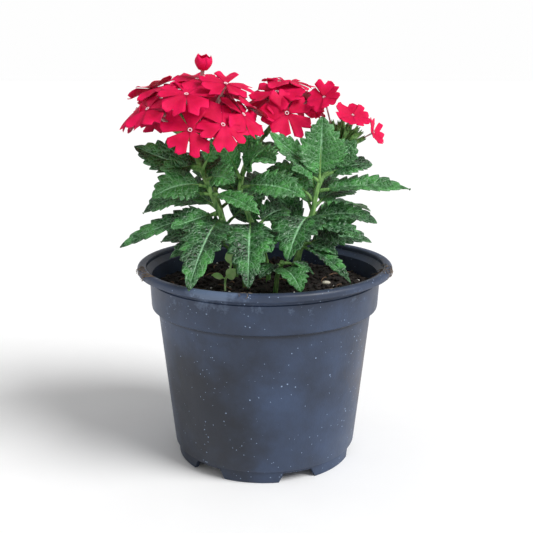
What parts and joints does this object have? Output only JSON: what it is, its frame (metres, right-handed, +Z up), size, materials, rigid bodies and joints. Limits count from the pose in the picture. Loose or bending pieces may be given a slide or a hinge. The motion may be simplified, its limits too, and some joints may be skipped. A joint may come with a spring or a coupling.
{
  "type": "potted verbena plant",
  "caption": "Verbena in a round tapered nursery pot: square stems, toothed leaves and domed heads of notched red florets, rooted in potting soil.",
  "frame": {"origin": "on the pot's vertical axis at the surface that the pot stands on; the plant's reach to the left and right is balanced about it", "axes": "+Z up along the pot's axis; the front of the plant, with the low leaves that reach over the rim, looks along -Y; +X is to the viewer's right"},
  "size_m": [0.1314, 0.12, 0.1872],
  "materials": {
    "pot_plastic": "injection-moulded polypropylene, satin, dusty with chalky water marks",
    "soil": "damp loose peat and bark, matt",
    "foliage": "wrinkled green leaf with sunken pale veins and fine hairs",
    "petal": "soft red petal, matt, with a pale ring at the eye",
    "seedling": "thin young yellow-green leaf",
    "seed_husk": "pale dry husk"
  },
  "bodies": {
    "root": {"pot": "pot_plastic", "soil": "soil", "stem_left": "foliage", "stem_middle": "foliage", "stem_right": "foliage", "low_shoot": "foliage", "stem_back_left": "foliage", "stem_back_right": "foliage", "flowers_left": "petal", "flowers_middle": "petal", "bloom_right_1": "petal", "bloom_right_2": "petal", "bloom_right_3": "petal", "bloom_right_4": "petal", "seedling": "seedling", "seed": "seed_husk"}
  },
  "joints": []
}
